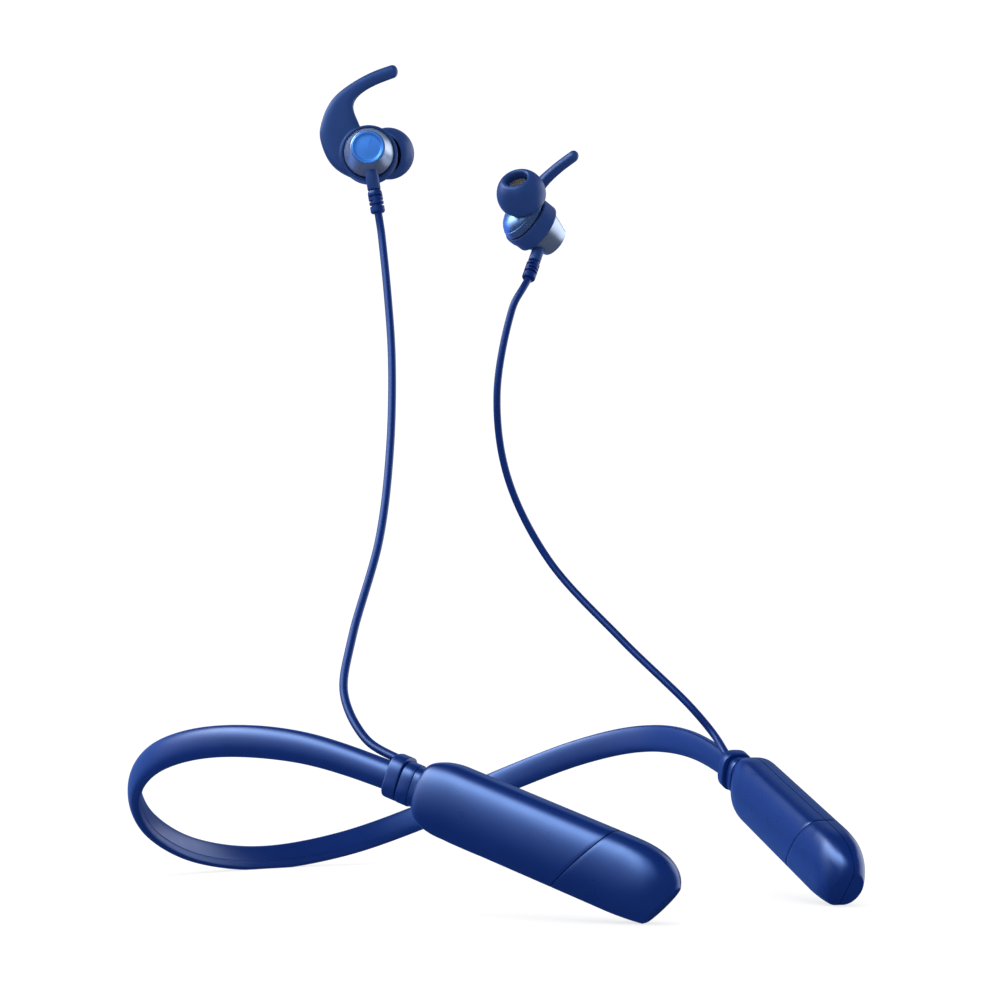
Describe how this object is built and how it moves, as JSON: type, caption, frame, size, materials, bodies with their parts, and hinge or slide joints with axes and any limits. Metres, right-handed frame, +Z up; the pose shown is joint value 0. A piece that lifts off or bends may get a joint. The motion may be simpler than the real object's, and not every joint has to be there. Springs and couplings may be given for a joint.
{
  "type": "neckband earphones",
  "caption": "Flexible neckband joining a control pod and a battery pod, with a hooked in-ear earbud on a short cable from each pod.",
  "frame": {"origin": "middle of the flat under the back of the band, on the table plane and in the mirror plane", "axes": "+X to the wearer's left, +Y towards the back of the band, +Z up; the pods point to -Y"},
  "size_m": [0.141, 0.1852, 0.1997],
  "materials": {
    "silicone": "matte soft silicone",
    "shell": "satin soft-touch plastic",
    "cable": "satin TPE jacket",
    "bright_blue": "polished anodised blue",
    "silver_blue": "metallic silver-blue",
    "steel": "plain",
    "copper": "plain",
    "board": "solder mask",
    "black": "moulded",
    "foil": "plain",
    "mesh": "woven mesh",
    "clear": "clear"
  },
  "bodies": {
    "band": {"back_band": "silicone", "back_spring_strip": "steel", "back_wire_loom": "copper"},
    "left_arm": {"left_band": "silicone", "left_spring_strip": "steel", "left_wire_loom": "copper", "left_collar": "silicone", "left_neck_ring": "shell", "left_outer_shell": "shell", "left_inner_shell": "shell", "left_tail_outer": "shell", "left_tail_inner": "shell", "left_cable_root": "cable", "battery_cell": "foil", "protection_board": "board"},
    "left_cable": {"left_cable_lower": "cable"},
    "left_cable_top": {"left_cable_upper": "cable", "left_strain_relief": "cable"},
    "left_earbud": {"left_end_disc": "bright_blue", "left_back_housing": "silver_blue", "left_latch_magnet": "steel", "left_driver": "black", "left_front_housing": "silver_blue", "left_grille": "mesh"},
    "left_wing": {"left_ear_wing": "silicone"},
    "left_tip": {"left_ear_tip": "silicone"},
    "right_arm": {"right_band": "silicone", "right_spring_strip": "steel", "right_wire_loom": "copper", "right_collar": "silicone", "right_neck_ring": "shell", "right_outer_shell": "shell", "right_inner_shell": "shell", "right_tail_outer": "shell", "right_tail_inner": "shell", "right_cable_root": "cable", "main_board": "board", "radio_shield": "foil", "vibration_motor": "steel", "usb_receptacle": "steel", "volume_up_switch": "black", "centre_switch": "black", "volume_down_switch": "black", "status_light_pipe": "clear"},
    "right_cable": {"right_cable_lower": "cable"},
    "right_cable_top": {"right_cable_upper": "cable", "right_strain_relief": "cable"},
    "right_earbud": {"right_end_disc": "bright_blue", "right_back_housing": "silver_blue", "right_latch_magnet": "steel", "right_driver": "black", "right_front_housing": "silver_blue", "right_grille": "mesh"},
    "right_wing": {"right_ear_wing": "silicone"},
    "right_tip": {"right_ear_tip": "silicone"},
    "volume_up": {"volume_up_button": "silicone"},
    "centre": {"centre_button": "silicone"},
    "volume_down": {"volume_down_button": "silicone"},
    "port_flap": {"port_flap": "silicone"}
  },
  "joints": [
    {"name": "left_arm_flex", "type": "hinge", "parent": "band", "child": "left_arm", "pos_m": [0.02982, -0.00448, 0.00735], "axis": [-0.0652, 0.5055, 0.8604], "range_deg": [-5, 12], "stiffness_Nm_per_rad": 1.5},
    {"name": "left_cable_bend", "type": "hinge", "parent": "left_arm", "child": "left_cable", "pos_m": [0.0492, -0.11245, 0.0434], "axis": [1, 0, 0], "range_deg": [-25, 40]},
    {"name": "left_cable_sway", "type": "hinge", "parent": "left_cable", "child": "left_cable_top", "pos_m": [0.023, -0.07315, 0.1027], "axis": [0, 1, 0], "range_deg": [-25, 25]},
    {"name": "left_earbud_swivel", "type": "hinge", "parent": "left_cable_top", "child": "left_earbud", "pos_m": [0.02663, -0.0795, 0.15901], "axis": [0.4683, 0.1168, 0.8758], "range_deg": [-60, 60]},
    {"name": "left_wing_turn", "type": "hinge", "parent": "left_earbud", "child": "left_wing", "pos_m": [0.0268, -0.07805, 0.1697], "axis": [-0.8828, 0.1026, 0.4584], "range_deg": [-15, 15]},
    {"name": "left_tip_pull", "type": "slide", "parent": "left_earbud", "child": "left_tip", "axis": [-0.6909, -0.3836, 0.6128], "range_m": [0, 0.008]},
    {"name": "right_arm_flex", "type": "hinge", "parent": "band", "child": "right_arm", "pos_m": [-0.02982, -0.00448, 0.00735], "axis": [-0.0652, -0.5055, -0.8604], "range_deg": [-5, 12], "stiffness_Nm_per_rad": 1.5},
    {"name": "right_cable_bend", "type": "hinge", "parent": "right_arm", "child": "right_cable", "pos_m": [-0.0513, -0.10275, 0.046], "axis": [1, 0, 0], "range_deg": [-25, 40]},
    {"name": "right_cable_sway", "type": "hinge", "parent": "right_cable", "child": "right_cable_top", "pos_m": [-0.032, -0.09395, 0.1026], "axis": [0, 1, 0], "range_deg": [-25, 25]},
    {"name": "right_earbud_swivel", "type": "hinge", "parent": "right_cable_top", "child": "right_earbud", "pos_m": [-0.02845, -0.08261, 0.16763], "axis": [0.1679, -0.0642, -0.9837], "range_deg": [-60, 60]},
    {"name": "right_wing_turn", "type": "hinge", "parent": "right_earbud", "child": "right_wing", "pos_m": [-0.0268, -0.07835, 0.1774], "axis": [-0.639, -0.767, -0.059], "range_deg": [-15, 15]},
    {"name": "right_tip_pull", "type": "slide", "parent": "right_earbud", "child": "right_tip", "axis": [0.8886, 0.3467, 0.3002], "range_m": [0, 0.008]},
    {"name": "volume_up_press", "type": "slide", "parent": "right_arm", "child": "volume_up", "axis": [-0.9093, -0.4161, 0], "range_m": [0, 0.0004], "stiffness_N_per_m": 150},
    {"name": "centre_press", "type": "slide", "parent": "right_arm", "child": "centre", "axis": [-0.9093, -0.4161, 0], "range_m": [0, 0.0004], "stiffness_N_per_m": 150},
    {"name": "volume_down_press", "type": "slide", "parent": "right_arm", "child": "volume_down", "axis": [-0.9093, -0.4161, 0], "range_m": [0, 0.0004], "stiffness_N_per_m": 150},
    {"name": "port_flap_open", "type": "hinge", "parent": "right_arm", "child": "port_flap", "pos_m": [-0.04843, -0.13364, 0.01561], "axis": [0.9093, 0.4161, 0], "range_deg": [0, 100]}
  ]
}
